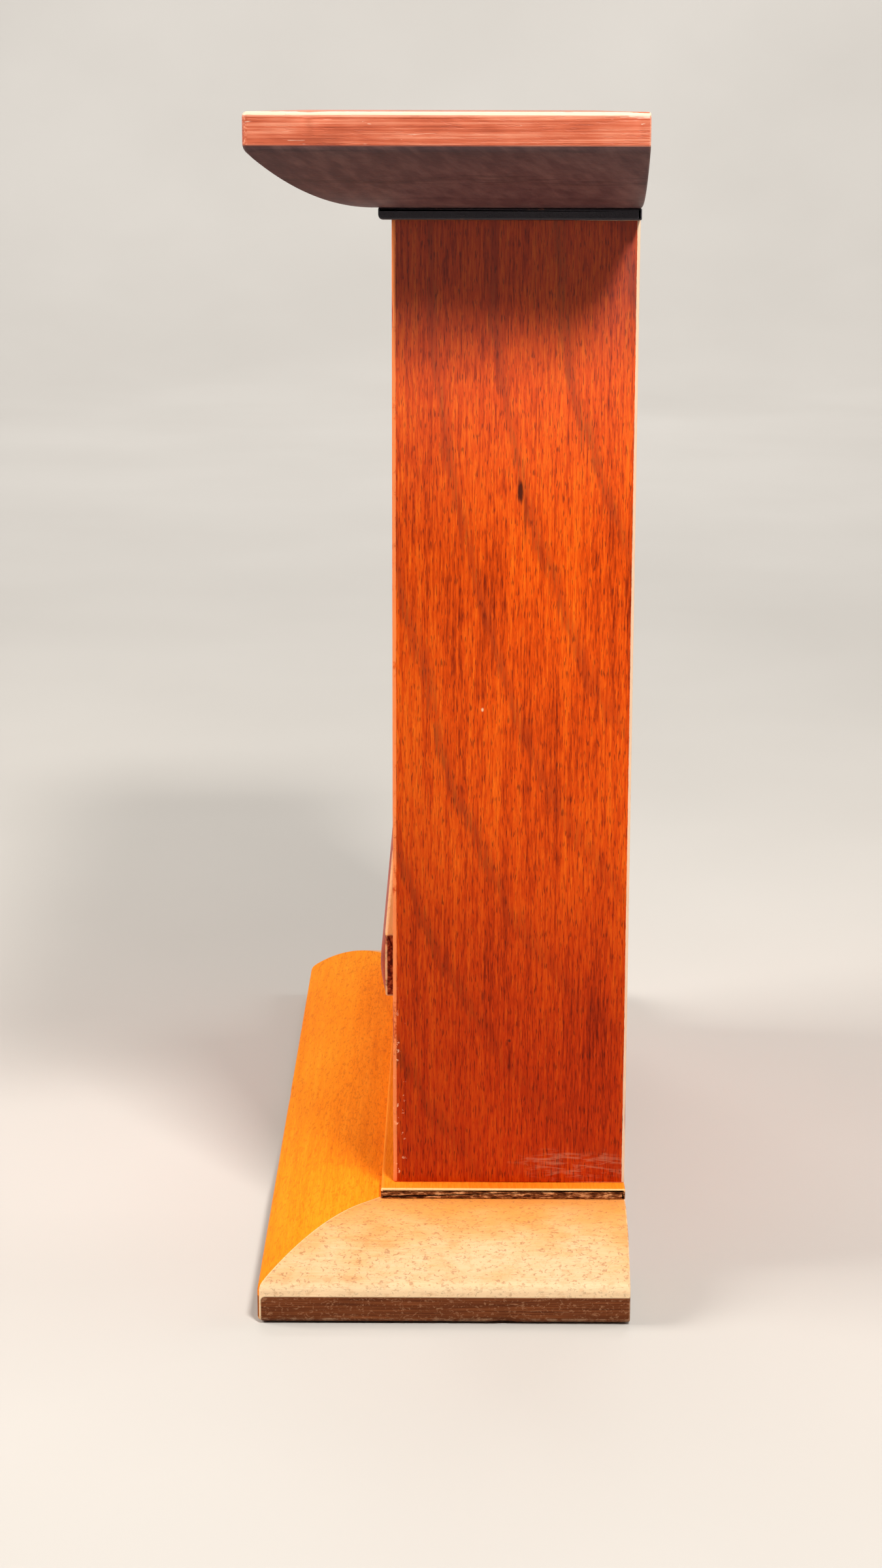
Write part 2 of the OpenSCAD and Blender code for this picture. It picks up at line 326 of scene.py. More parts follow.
def panel_wood(name, axis, centre, squash, seed):
    """Orange-red stain; the growth layers show faintly, and less towards the back and the foot."""
    wood = Wood(name, axis, centre, squash, ring=16 * MM, phase=0.93, seed=seed)
    s = wood.surface
    tone = wood.cloud * 0.45 + wood.strand * 0.35 + wood.fibre * 0.80 + wood.ribbon * 0.45 - 0.52
    deep, mid, light = (0.20, 0.013, 0.002), (0.74, 0.074, 0.003), (1.00, 0.180, 0.008)
    body = s.ramp(tone, (0.22, deep), (0.48, mid), (0.76, light))
    clear = (s.y + (0.15 - s.z) * 0.35).step(0.050, 0.010) * 0.6 + 0.4
    figure = wood.late * (wood.fibre.step(0.36, 0.60) * 0.56 + 0.03) * (wood.cloud + 0.42) * clear
    body = s.mix(figure, body, (0.150, 0.022, 0.010))
    body = s.mix(wood.pore * 0.62, body, (0.100, 0.014, 0.006))
    return s, wood, body


def finish_panel(s, wood, body, wear_and_highlight):
    """Satin lacquer over the wood, duller on the pale edges, which are worn and carry a painted
    highlight.
    """
    rough = wood.fibre * 0.16 + wood.cloud * 0.10 + 0.28 + wear_and_highlight * 0.15
    return s.finish(body, rough, wood.relief(), 0.05 * MM, coat=0.02, coat_roughness=0.3, specular=0.07)


# Marks of the right-hand panel in mm: y, z, half width, half height, then strength and colour
PANEL_MARKS = (
    (18.9, 212, 0.9, 3.0, 0.9, (0.030, 0.008, 0.006)),  # pin knot
    (20.2, 206, 0.6, 7.0, 0.5, (0.080, 0.014, 0.008)),  # its tail
    (9.5, 155.4, 0.35, 0.55, 1.0, (0.85, 0.50, 0.30)),  # chip in the stain
    (17.1, 65.8, 0.45, 0.5, 0.8, (0.05, 0.01, 0.005)),  # dark speck
    (10.0, 78, 0.4, 1.6, 0.6, (0.09, 0.012, 0.005)),  # dark dash
)


def mark_right_panel(s, body):
    """The pin knot and small marks, a scuffed foot, and specks along the low front edge."""
    for y, z, half_width, half_height, strength, color in PANEL_MARKS:
        mark = spot(s, y * MM, z * MM, half_width * MM, half_height * MM)
        body = s.mix(mark * strength, body, color)
    strokes = s.noise((900, 130, 900), detail=3, rough=0.7, shift=36, warp=0.7).step(0.44, 0.66)
    scuff = spot(s, 34 * MM, 31.0 * MM, 16 * MM, 4.4 * MM) * strokes
    body = s.mix(scuff * 0.40, body, (0.60, 0.25, 0.14))
    specks = s.noise((560, 560, 560), detail=2, rough=0.6, shift=38).step(0.63, 0.68)
    low_front = s.y.step(-9.5 * MM, -12.5 * MM) * s.z.step(0.085, 0.05)
    return s.mix(specks * low_front * 0.85, body, (0.92, 0.50, 0.30))


def side_panel_material(word, side, seed):
    """Steep layers that sweep towards the back. Painted shade darkens the foot and the front, the
    cornice's shadow is painted across the top, a painted sheen veils the upper part, and the pale edges
    are wear and painted highlight.
    """
    name = f"{word}_panel_wood"
    s, wood, body = panel_wood(name, "z", (side * 0.13, 0.075, 0.287), (0.6, 1.0, 0.41), seed)
    # Painted shade: darker towards the foot, where the light falls off.
    foot_shade = (s.z + (wood.cloud - 0.5) * (50 * MM)).step(0.175, 0.045)
    body = s.mix(foot_shade, body, (0.64, 0.40, 0.25), "MULTIPLY")
    # Painted shadow: the cornice's shadow, darker and bluish at the top of the panel.
    head = (s.z + (wood.strand - 0.5) * (12 * MM)).step(0.236, 0.266)
    body = s.mix(head, body, (0.62, 0.62, 0.90), "MULTIPLY")
    # Painted shade: darker and a little bluish towards the front, away from the light.
    front_shade = (s.y + (wood.cloud - 0.5) * (24 * MM)).step(0.022, -0.012)
    body = s.mix(front_shade, body, (0.86, 0.84, 0.95), "MULTIPLY")
    # Painted sheen: a faint grey-blue veil over the upper panel, as a reflection would lay.
    painted_haze = s.z.step(0.19, 0.29)
    body = s.mix(painted_haze * 0.075, body, (0.52, 0.40, 0.46))
    if side > 0:
        body = mark_right_panel(s, body)
    # Pale front and back edges: partly wear, partly a painted highlight where the eased edges catch the
    # light.
    front = edge_wear_and_highlight(s, 0.18, seed) * s.y.step(0.02, 0.0)
    back = edge_wear_and_highlight(s, 0.45, seed) * s.y.step(0.03, 0.04)
    body = s.mix(front * 0.8, body, (0.93, 0.27, 0.085))
    body = s.mix(back * 0.9, body, (0.88, 0.62, 0.42))
    return finish_panel(s, wood, body, front + back)


def back_panel_material():
    """The side panels' stain on flat-cut layers, which arch up the middle of the board."""
    s, wood, body = panel_wood("back_panel_wood", "z", (0.02, 0.13, 0.42), (1.0, 0.6, 0.30), 40.0)
    wear_and_highlight = edge_wear_and_highlight(s, 0.1, 40.0)
    body = s.mix(wear_and_highlight * 0.8, body, (0.88, 0.46, 0.24))
    return finish_panel(s, wood, body, wear_and_highlight)


def base_front_material():
    """Clear orange stain with fine darker flecks."""
    centre, squash = (-0.25, -0.01, -0.03), (0.09, 1.0, 0.8)
    wood = Wood("base_front_wood", "x", centre, squash, ring=8 * MM, seed=17)
    s = wood.surface
    tone = wood.cloud * 0.45 + wood.strand * 0.30 + wood.fibre * 0.50 - 0.12
    deep, mid, light = (0.66, 0.130, 0.003), (0.90, 0.235, 0.005), (1.00, 0.350, 0.018)
    body = s.ramp(tone, (0.25, deep), (0.5, mid), (0.78, light))
    body = s.mix(wood.late * 0.16, body, (0.55, 0.09, 0.003))
    flecks = s.noise((300, 800, 800), detail=3, rough=0.65, shift=29).step(0.53, 0.66)
    body = s.mix((flecks * 0.42).greater(wood.pore * 0.35), body, (0.50, 0.085, 0.003))
    band_top = BASE_LO.z + BASE_BAND
    band = s.z.step(band_top + 0.3 * MM, band_top - 0.3 * MM)
    body = s.mix(band * 0.8, body, (0.16, 0.040, 0.012))
    wear_and_highlight = edge_wear_and_highlight(s, 0.0, 17)
    body = s.mix(wear_and_highlight * 0.7, body, (0.95, 0.50, 0.20))
    rough = wood.fibre * 0.14 + wood.cloud * 0.08 + 0.30
    return s.finish(body, rough, wood.relief(), 0.04 * MM, specular=0.006)


def painted_band(s):
    """1 on the base's dark band, which stops just short of the mitre in a round corner."""
    short_of_mitre = 0.9 * MM
    forwards = ((s.y - (FRONT_Y + short_of_mitre)) * -1 + CORNER_R).greater(0.0)
    upwards = (s.z - (BASE_LO.z + BASE_BAND - CORNER_R)).greater(0.0)
    from_corner = (forwards * forwards + upwards * upwards).root()
    return from_corner.step(CORNER_R + 0.2 * MM, CORNER_R - 0.2 * MM)


def base_side_material(name, seed):
    """Pale tan with hair-fine pores, orange by the fillet, and a dark brown band. The pale tan is a
    painted sheen on the front strip's orange wood, and the upright part just above the band is painted
    paler still.
    """
    wood = Wood(name, "y", (0.09, 0.20, -0.03), (1.0, 0.12, 0.8), ring=9 * MM, seed=seed)
    s = wood.surface
    patches = s.noise((60, 34, 60), detail=3, rough=0.6, shift=seed + 19)
    tone = patches * 0.75 + wood.fibre * 0.25
    # Painted sheen: the pale tan stands for light washing over the same orange wood as the front strip.
    tan, pale, cream = (0.66, 0.29, 0.095), (0.76, 0.41, 0.18), (0.79, 0.50, 0.28)
    body = s.ramp(tone, (0.36, tan), (0.5, pale), (0.64, cream))
    inward = s.x.absolute() + (patches - 0.5) * (16 * MM)
    body = s.mix(inward.step(0.136, 0.118) * 0.85, body, (0.78, 0.28, 0.048))
    body = s.mix(inward.step(0.120, 0.112) * 0.35, body, (0.66, 0.20, 0.035))
    # Painted light: paler just above the band, where the face turns upright and gets less of the light
    # from above.
    low = s.z.step(BASE_LO.z + 13 * MM, BASE_LO.z + 8 * MM)
    body = s.mix(low * 0.35, body, (0.82, 0.55, 0.38))
    rise = s.z.step(BASE_LO.z + 11.5 * MM, BASE_LO.z + 8.6 * MM)
    body = s.mix(rise * 0.85, body, (0.98, 0.72, 0.44))
    mottle = s.noise((620, 380, 620), detail=3, rough=0.65, shift=seed + 20).step(0.50, 0.68)
    body = s.mix(mottle * 0.28, body, (0.58, 0.24, 0.075))
    hairs = s.noise((1350, 820, 1350), detail=3, rough=0.65, shift=seed + 21, warp=0.8).step(0.555, 0.63)
    body = s.mix(hairs * 0.50 * (1.0 - rise * 0.4), body, (0.25, 0.110, 0.042))
    # Light line along the mitre: a worn arris with a painted highlight.
    mitre = ((s.x.absolute() - HALF_W) + (s.y - FRONT_Y)).absolute()
    body = s.mix(mitre.step(0.55 * MM, 0.1 * MM) * 0.45, body, (0.95, 0.60, 0.34))
    band = painted_band(s)
    lines = s.noise((300, 30, 2400), detail=3, rough=0.7, shift=seed + 23)
    dark, brown_mid, brown_light = (0.070, 0.016, 0.004), (0.155, 0.039, 0.010), (0.27, 0.080, 0.026)
    brown = s.ramp(lines, (0.3, dark), (0.52, brown_mid), (0.72, brown_light))
    scratch = s.noise((900, 110, 900), detail=2, rough=0.4, shift=seed + 27, warp=1.5).step(0.69, 0.73)
    brown = s.mix((hairs * 0.5).greater(scratch * 0.6), brown, (0.42, 0.20, 0.10))
    body = s.mix(band, body, brown)
    wear_and_highlight = edge_wear_and_highlight(s, 0.0, seed) * (1.0 - band * 0.75)
    body = s.mix(wear_and_highlight * 0.8, body, (0.92, 0.62, 0.38))
    rough = wood.fibre * 0.16 + 0.36 + band * 0.15
    relief = wood.relief() - hairs * 0.5
    return s.finish(body, rough, relief, 0.05 * MM, coat=0.04, coat_roughness=0.3, specular=0.1)


def cornice_material(name, axis, seed):
    """Salmon-red band with fine lines, deep purple-brown below it. The salmon is red wood paled by
    painted light and sheen; the purple-brown underside is painted shade.
    """
    squash = (0.10, 1.0, 0.8) if axis == "x" else (1.0, 0.10, 0.8)
    wood = Wood(name, axis, (0.0, 0.0, 0.36), squash, ring=7 * MM, seed=seed)
    s = wood.surface
    lines = s.noise(along(axis, 20, 2100), detail=3, rough=0.7, shift=seed + 3)
    patches = s.noise((45, 45, 160), detail=3, rough=0.6, shift=seed + 4)
    tone = lines * 0.62 + patches * 0.38
    # Partly painted light: the band's red is paled to salmon by painted light and sheen.
    dark, mid, light = (0.26, 0.042, 0.020), (0.57, 0.128, 0.062), (0.80, 0.31, 0.19)
    band_color = s.ramp(tone, (0.34, dark), (0.5, mid), (0.66, light))
    scratch = s.noise((700, 90, 900), detail=2, rough=0.4, shift=seed + 6, warp=2.0).step(0.70, 0.74)
    band_color = s.mix(scratch * 0.6, band_color, (0.90, 0.62, 0.48))
    slant = s.combine(s.x + s.z, s.y - s.z * 0.8, s.z + s.y * 0.8)
    streaks = s.noise((140, 30, 330), detail=3, rough=0.6, shift=seed + 7, at=slant)
    shade = wood.cloud * 0.5 + streaks * 0.5
    # Painted shade: the underside below the band is darkened to a deep purple-brown, as it lies in
    # shade.
    night, dusk, painted_haze = (0.044, 0.021, 0.024), (0.084, 0.037, 0.038), (0.170, 0.082, 0.074)
    painted_under_shade = s.ramp(shade, (0.3, night), (0.5, dusk), (0.72, painted_haze))
    painted_under_shade = s.mix(wood.late * 0.35, painted_under_shade, (0.025, 0.012, 0.013))
    band_foot = CORNICE_HI.z - CORNICE_BAND
    under = s.z.step(band_foot + 0.2 * MM, band_foot - 0.4 * MM)
    body = s.mix(under, band_color, painted_under_shade)
    top = s.z.step(CORNICE_HI.z - 1.0 * MM, CORNICE_HI.z - 0.2 * MM)
    body = s.mix(top * 0.55, body, (0.62, 0.13, 0.045))
    # Pale top arris: wear, and a painted highlight where the light from above catches the edge.
    highlit_arris = s.z.step(CORNICE_HI.z - 1.05 * MM, CORNICE_HI.z - 0.6 * MM) * 0.8 + 0.2
    wear_and_highlight = edge_wear_and_highlight(s, 0.30, seed) * (1.0 - under * 0.8) * highlit_arris
    body = s.mix(wear_and_highlight * 0.9, body, (0.92, 0.62, 0.45))
    rough = lines * 0.2 + 0.30 + under * 0.1
    relief = wood.relief() + lines * 0.8
    return s.finish(body, rough, relief, 0.05 * MM, coat=0.08, coat_roughness=0.3, specular=0.25)


def core_material(name, seed):
    """Red-brown board, seen from above, from below and at the back."""
    wood = Wood(name, "x", (-0.30, 0.10, 0.15), (0.10, 1.0, 0.7), ring=8 * MM, seed=seed)
    s = wood.surface
    tone = wood.cloud * 0.5 + wood.strand * 0.3 + wood.fibre * 0.3 - 0.05
    deep, mid, light = (0.26, 0.045, 0.015), (0.48, 0.095, 0.026), (0.68, 0.18, 0.05)
    body = s.ramp(tone, (0.2, deep), (0.5, mid), (0.8, light))
    body = s.mix(wood.late * 0.45, body, (0.18, 0.040, 0.018))
    body = s.mix(wood.pore * 0.5, body, (0.10, 0.02, 0.01))
    wear_and_highlight = s.edge() * wood.cloud.step(0.4, 0.6)
    body = s.mix(wear_and_highlight * 0.6, body, (0.85, 0.48, 0.26))
    rough = wood.fibre * 0.15 + 0.30
    return s.finish(body, rough, wood.relief(), 0.05 * MM, coat=0.08, coat_roughness=0.3, specular=0.3)


def base_fillet_material():
    """Orange top, a painted cream highlight on the upper arris at the sides, rough dark brown edge."""
    wood = Wood("base_fillet_wood", "x", (-0.2, 0.12, 0.0), (0.08, 1.0, 1.0), seed=61)
    s = wood.surface
    tone = wood.cloud * 0.5 + wood.fibre * 0.5
    orange = s.ramp(tone, (0.3, (0.68, 0.135, 0.006)), (0.6, (0.92, 0.25, 0.015)))
    crumbs = s.noise((520, 330, 1300), detail=4, rough=0.75, shift=66)
    dark, mid, light = (0.055, 0.015, 0.006), (0.26, 0.085, 0.028), (0.80, 0.42, 0.19)
    rough_cut = s.ramp(crumbs, (0.40, dark), (0.52, mid), (0.64, light))
    top_z = BASE_FILLET[1].z
    at_side = s.x.absolute().step(BASE_FILLET[1].x - 0.7 * MM, BASE_FILLET[1].x - 0.3 * MM)
    below_arris = s.z.step(top_z - 0.45 * MM, top_z - 0.9 * MM)
    body = s.mix(at_side * below_arris, orange, rough_cut)
    # Painted highlight: cream along the upper arris, strong at the sides and faint at the front.
    highlit_arris = s.edge() * s.z.step(top_z - 0.9 * MM, top_z - 0.5 * MM)
    body = s.mix(highlit_arris * (at_side * 0.85 + 0.05), body, (0.96, 0.56, 0.26))
    side = at_side * below_arris
    rough = crumbs * 0.3 * side + 0.34 + side * 0.2
    relief = wood.relief() * (1.0 - side) + crumbs * side * 5.0
    return s.finish(body, rough, relief, 0.08 * MM, specular=0.0)


def cornice_fillet_material():
    """Nearly black, worn a little on its edges."""
    wood = Wood("cornice_fillet_wood", "x", (-0.2, 0.12, 0.4), (0.08, 1.0, 1.0), seed=81)
    s = wood.surface
    tone = wood.cloud * 0.5 + wood.fibre * 0.5
    body = s.ramp(tone, (0.3, (0.018, 0.017, 0.024)), (0.7, (0.044, 0.038, 0.048)))
    crumbs = s.noise((700, 700, 700), detail=3, rough=0.7, shift=85)
    wear_and_highlight = edge_wear_and_highlight(s, -0.1, 83) * crumbs.step(0.45, 0.6)
    body = s.mix(wear_and_highlight * 0.6, body, (0.32, 0.15, 0.10))
    rough = wood.fibre * 0.2 + 0.32
    relief = wood.relief() + crumbs * 0.5
    return s.finish(body, rough, relief, 0.06 * MM, coat=0.08, coat_roughness=0.3, specular=0.3)


def rail_material():
    """Orange top, a painted light on the dark red wood; dark red front, mottled dark red end grain."""
    wood = Wood("rail_wood", "x", (-0.2, 0.03, 0.12), (0.06, 1.0, 1.0), ring=6 * MM, seed=101)
    s = wood.surface
    tone = wood.cloud * 0.4 + wood.strand * 0.25 + wood.fibre * 0.5 - 0.10
    deep, mid, light = (0.20, 0.018, 0.005), (0.42, 0.045, 0.010), (0.66, 0.11, 0.022)
    body = s.ramp(tone, (0.25, deep), (0.5, mid), (0.78, light))
    body = s.mix(wood.late * 0.4, body, (0.14, 0.016, 0.006))
    # Painted light: the top is made orange, as the light from above falls on it.
    top = s.z.step(RAIL_HI.z - 0.7 * MM, RAIL_HI.z - 0.3 * MM)
    body = s.mix(top * 0.9, body, (0.88, 0.36, 0.085))
    ends = s.x.absolute().step(RAIL_HI.x - 0.5 * MM, RAIL_HI.x - 0.1 * MM)
    cells = s.noise((900, 900, 900), detail=3, rough=0.7, shift=105)
    end_deep, end_mid, end_light = (0.11, 0.010, 0.004), (0.30, 0.035, 0.010), (0.60, 0.13, 0.045)
    end_color = s.ramp(cells, (0.40, end_deep), (0.52, end_mid), (0.64, end_light))
    body = s.mix(ends * (1.0 - top), body, end_color)
    # Pale edges: wear, and a painted highlight along the end's top edge.
    wear_and_highlight = edge_wear_and_highlight(s, 0.1, 103)
    body = s.mix(wear_and_highlight * 0.75, body, (0.95, 0.50, 0.24))
    rough = wood.fibre * 0.15 + 0.30 + ends * 0.2
    return s.finish(body, rough, wood.relief() + cells * ends, 0.05 * MM, specular=0.06)


def dowel_material():
    wood = Wood("dowel_beech", "x", (0.0, 0.05, 0.2), (0.05, 1.0, 1.0), ring=2 * MM, seed=121)
    s = wood.surface
    body = s.ramp(wood.fibre, (0.3, (0.52, 0.36, 0.20)), (0.7, (0.74, 0.56, 0.36)))
    return s.finish(body, wood.fibre * 0.2 + 0.5, wood.relief(), 0.04 * MM)


def metal_material(name, dark, light, per_metre):
    s = Surface(name)
    lines = s.noise(per_metre, detail=3, rough=0.6, shift=5)
    spots = s.noise((300, 300, 300), detail=3, rough=0.6, shift=9)
    body = s.ramp(lines * 0.5 + spots * 0.5, (0.3, dark), (0.7, light))
    s.bsdf.inputs["Metallic"].default_value = 1.0
    return s.finish(body, lines * 0.25 + 0.22, lines, 0.01 * MM)


def felt_material():
    s = Surface("pad_felt")
    fluff = s.noise((2600, 2600, 2600), detail=4, rough=0.75, shift=2, warp=0.8)
    body = s.ramp(fluff, (0.3, (0.018, 0.035, 0.022)), (0.7, (0.060, 0.105, 0.065)))
    s.bsdf.inputs["Sheen Weight"].default_value = 0.5
    return s.finish(body, fluff * 0.1 + 0.85, fluff, 0.25 * MM, specular=0.2)


# ---------------------------------------------------------------- mesh code


class Section:
    """A closed outline in two coordinates, with 1 at its eased corners and 0 between them."""

    def __init__(self, points):
        self.points = [Vector(p[:2]) for p in points]
        self.edge = [p[2] for p in points]
        count = len(self.points)
        area = 0.0
        for i in range(count):
            a, b = self.points[i], self.points[(i + 1) % count]
            area += a.x * b.y - b.x * a.y
        side = 1 if area > 0 else -1
        self.normals = []
        for i in range(count):
            step = self.points[(i + 1) % count] - self.points[i - 1]
            self.normals.append(side * Vector((step.y, -step.x)).normalized())

    def inset(self, i, depth):
        return self.points[i] - self.normals[i] * depth


def eased_corner(before, corner, after, radius, steps=5, margin=1.0 * MM):
    """Arc points round one corner, with a plain point on each side of it."""
    to_before = (Vector(before) - Vector(corner)).normalized()
    to_after = (Vector(after) - Vector(corner)).normalized()
    half = to_before.angle(to_after) / 2
    reach = radius / math.tan(half)
    middle = Vector(corner) + (to_before + to_after).normalized() * (radius / math.sin(half))
    start = Vector(corner) + to_before * reach
    end = Vector(corner) + to_after * reach
    points = [(*(start + to_before * margin), 0.0)]
    for i in range(steps + 1):
        arm = (start - middle).slerp(end - middle, i / steps).normalized() * radius
        points.append((*(middle + arm), 1.0))
    points.append((*(end + to_after * margin), 0.0))
    return points


def eased_outline(corners, radii, margin=0.4 * MM):
    count = len(corners)
    points = []
    for i in range(count):
        after = corners[(i + 1) % count]
        points += eased_corner(corners[i - 1], corners[i], after, radii[i], margin=margin)
    return points


def link_piece(name, mesh, node, slot, material):
    """Puts a piece in the scene in place of its CAD node."""
    piece = bpy.data.objects.new(name, mesh)
    bpy.context.scene.collection.objects.link(piece)
    mesh.materials.append(material)
    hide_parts(node)
    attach(piece, "root")
    return piece


def close_mesh(name, verts, faces, edge_values):
    """The mesh with its faces turned outwards, smooth except across its sharp edges."""
    mesh = bpy.data.meshes.new(name)
    mesh.from_pydata(verts, [], faces)
    attribute = mesh.attributes.new("edge", "FLOAT", "POINT")
    attribute.data.foreach_set("value", edge_values)
    bm = bmesh.new()
    bm.from_mesh(mesh)
    bmesh.ops.recalc_face_normals(bm, faces=bm.faces)
    for face in bm.faces:
        face.smooth = True
    for edge in bm.edges:
        edge.smooth = len(edge.link_faces) == 2 and edge.calc_face_angle() < SMOOTH_BELOW
    bm.to_mesh(mesh)
    bm.free()
    return mesh


def dent(point, edge, depth, seed):
    """How far a worn edge is knocked back at a point."""
    if edge == 0:
        return 0.0
    coarse = noise.noise(point * 95 + Vector((seed, 0, 0)))
    fine = noise.noise(point * 640 + Vector((0, seed, 0)))
    knock = max(0.0, coarse - 0.32) * 2.2 + max(0.0, fine - 0.35) * 0.8
    return edge * min(knock, 1.0) * depth


def sweep(name, section, stations, place, wear_depth, seed):
    """A ring of the section at each station, which gives a point's way along and its inset."""
    verts, edge_values, faces = [], [], []
    count = len(section.points)
    for station in stations:
        for i in range(count):
            s, inset = station(section.points[i])
            in_cap = inset > CAP_INSET
            unworn = place(s, *section.points[i])
            knock = dent(unworn, section.edge[i], wear_depth, seed)
            flat = section.inset(i, inset + knock)
            verts.append(place(s, flat.x, flat.y))
            at_end = 1.0 if inset > 0 else 0.0
            edge_values.append(0.0 if in_cap else max(section.edge[i], at_end))
    last = (len(stations) - 1) * count
    for low in range(0, last, count):
        high = low + count
        for i in range(count):
            j = (i + 1) % count
            faces.append((low + i, low + j, high + j, high + i))
    faces.append(tuple(range(count)))
    faces.append(tuple(range(last, last + count)))
    return close_mesh(name, verts, faces, edge_values)


def eased_end(ease):
    """Distance from the end and inset, from the cap's flat middle round to the side."""
    turns = [math.radians(a) for a in (0, 22, 45, 68, 90)]
    rim = [(ease * (1 - math.cos(t)), ease * (1 - math.sin(t))) for t in turns]
    return [(0.0, CAP_INSET + 0.1 * MM)] + rim


def straight_stations(lo, hi, ease, step):
    """Square-ended run from lo to hi, its ends eased."""
    head = [(lo + s, inset) for s, inset in eased_end(ease)]
    tail = [(hi - s, inset) for s, inset in reversed(eased_end(ease))]
    count = max(2, round((hi - lo) / step))
    middle = [(lo + ease + (hi - lo - 2 * ease) * i / count, 0.0) for i in range(1, count)]
    return [lambda p, v=value: v for value in head + middle + tail]


def moulding_section(band, round_w, rise, bend):
    """Inward distance and height of the outline: plain band, short rise, then the round."""
    top = band + ROUND_H
    steps = 26
    arc = []
    for i in range(steps + 1):
        fall = (ROUND_H - rise) * (1 - i / steps) ** bend
        arc.append((round_w * i / steps, top - fall, 0.0))
    corner = (0, band + rise)
    lower = eased_corner((STRIP_W, 0), (0, 0), corner, CORNER_R, margin=0.35 * MM)
    shoulder = eased_corner((0, 0), corner, arc[3][:2], 3.0 * MM, steps=8, margin=0.4 * MM)
    shoulder = [(a, h, e * 0.45) for a, h, e in shoulder]
    rest = [p for p in arc if shoulder[-1][0] + 0.3 * MM < p[0] < STRIP_W - 0.2 * MM]
    back = [(STRIP_W, top, 0.0), (STRIP_W, top / 2, 0.0), (STRIP_W, 0.0, 0.0)]
    return Section(lower + shoulder + rest + back)


def corner_radius(a):
    """Plan radius of the mitred corner: soft at the outer face, crisp further in."""
    nearness = max(0.0, 1 - a / (2.5 * MM))
    return (0.12 + 1.5 * nearness**2) * MM


def mitre_station(degrees, from_end):
    """Ring on the rounded mitre: 45 degrees is on the joint, 0 on the straight run."""
    angle = math.radians(degrees)

    def station(point):
        r = corner_radius(point.x)
        s = point.x + r - r * math.sin(angle)
        return from_end(s), 0.0

    return station


def moulding_rings(length, second_mitre):
    """Stations of a strip that starts in a mitre and ends in a mitre or a square cut."""
    angles = (45, 34, 23, 11, 0)
    rings = [mitre_station(a, lambda s: s) for a in angles]
    count = round(length / RING_STEP)

    def run(t):
        def station(point):
            reach = point.x + corner_radius(point.x)
            end = length - reach if second_mitre else length - END_EASE
            return reach + (end - reach) * t, 0.0

        return station

    rings += [run(i / count) for i in range(1, count)]
    if second_mitre:
        rings += [mitre_station(a, lambda s: length - s) for a in reversed(angles)]
    else:
        rings += [lambda p, v=(length - s, inset): v for s, inset in reversed(eased_end(END_EASE))]
    return rings


def round_corner_inwards(place_plain):
    """Moves the outer face in where the mitred corner is rounded."""

    def place(s, a, h, ends):
        r = corner_radius(a)
        for distance in ends(s):
            short = a + r - distance
            if 0 < short <= r:
                a = a + r - math.sqrt(max(r * r - short * short, 0.0))
        return place_plain(s, a, h)

    return place


def front_place(flat_z, up):
    """From a strip's own s, a and h to the front of the base (up 1) or of the cornice (up -1)."""
    plain = round_corner_inwards(lambda s, a, h: Vector((s - HALF_W, FRONT_Y + a, flat_z + up * h)))
    length = 2 * HALF_W
    return lambda s, a, h: plain(s, a, h, lambda s: (s, length - s))


def side_place(flat_z, up, side):
    """The same on the left (side -1) or on the right (side 1)."""
    plain = round_corner_inwards(
        lambda s, a, h: Vector((side * (HALF_W - a), FRONT_Y + s, flat_z + up * h))
    )
    return lambda s, a, h: plain(s, a, h, lambda s: (s,))


def make_mouldings(level, flat_z, up, section, slots, materials):
    """Front, left and right strips, mitred at the front corners and cut square at the back."""
    wear_depth = 0.5 * MM
    depth = BACK_Y - FRONT_Y
    front = sweep(
        f"{level}_front_strip",
        section,
        moulding_rings(2 * HALF_W, True),
        front_place(flat_z, up),
        wear_depth,
        1.0 if level == "base" else 0.0,
    )
    link_piece(f"{level}_front_strip", front, f"{level}_front_moulding", slots[0], materials[0])
    for side, word, material in ((-1, "left", materials[1]), (1, "right", materials[2])):
        mesh = sweep(
            f"{level}_{word}_strip",
            section,
            moulding_rings(depth, False),
            side_place(flat_z, up, side),
            wear_depth,
            side * 3.0,
        )
        link_piece(f"{level}_{word}_strip", mesh, f"{level}_{word}_moulding", slots[1], material)


def make_side_panels():
    """Upright boards, with the rabbet that takes the back panel."""
    back_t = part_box("back_panel")[1].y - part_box("back_panel")[0].y
    rabbet_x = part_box("back_panel")[1].x
    case_y = CASE_LO.y
    for side, word in ((-1, "left"), (1, "right")):
        corners = [
            (PANEL_IN_X, case_y),
            (CASE_HI.x, case_y),
            (CASE_HI.x, BACK_Y),
            (rabbet_x, BACK_Y),
            (rabbet_x, BACK_Y - back_t),
            (PANEL_IN_X, BACK_Y - back_t),
        ]
        radii = [1.0 * MM, 0.9 * MM, 0.6 * MM, 0.4 * MM, 0.3 * MM, 0.4 * MM]
        section = Section(eased_outline(corners, radii))
        stations = straight_stations(CASE_LO.z, CASE_HI.z, 0.35 * MM, 2.0 * MM)
        mesh = sweep(
            f"{word}_panel_board",
            section,
            stations,
            lambda s, u, v: Vector((side * u, v, s)),
            0.30 * MM,
            side * 5.0,
        )
        material = side_panel_material(word, side, 0.0 if side > 0 else 140.0)
        link_piece(f"{word}_panel_board", mesh, f"{word}_side_panel", "panel_wood", material)


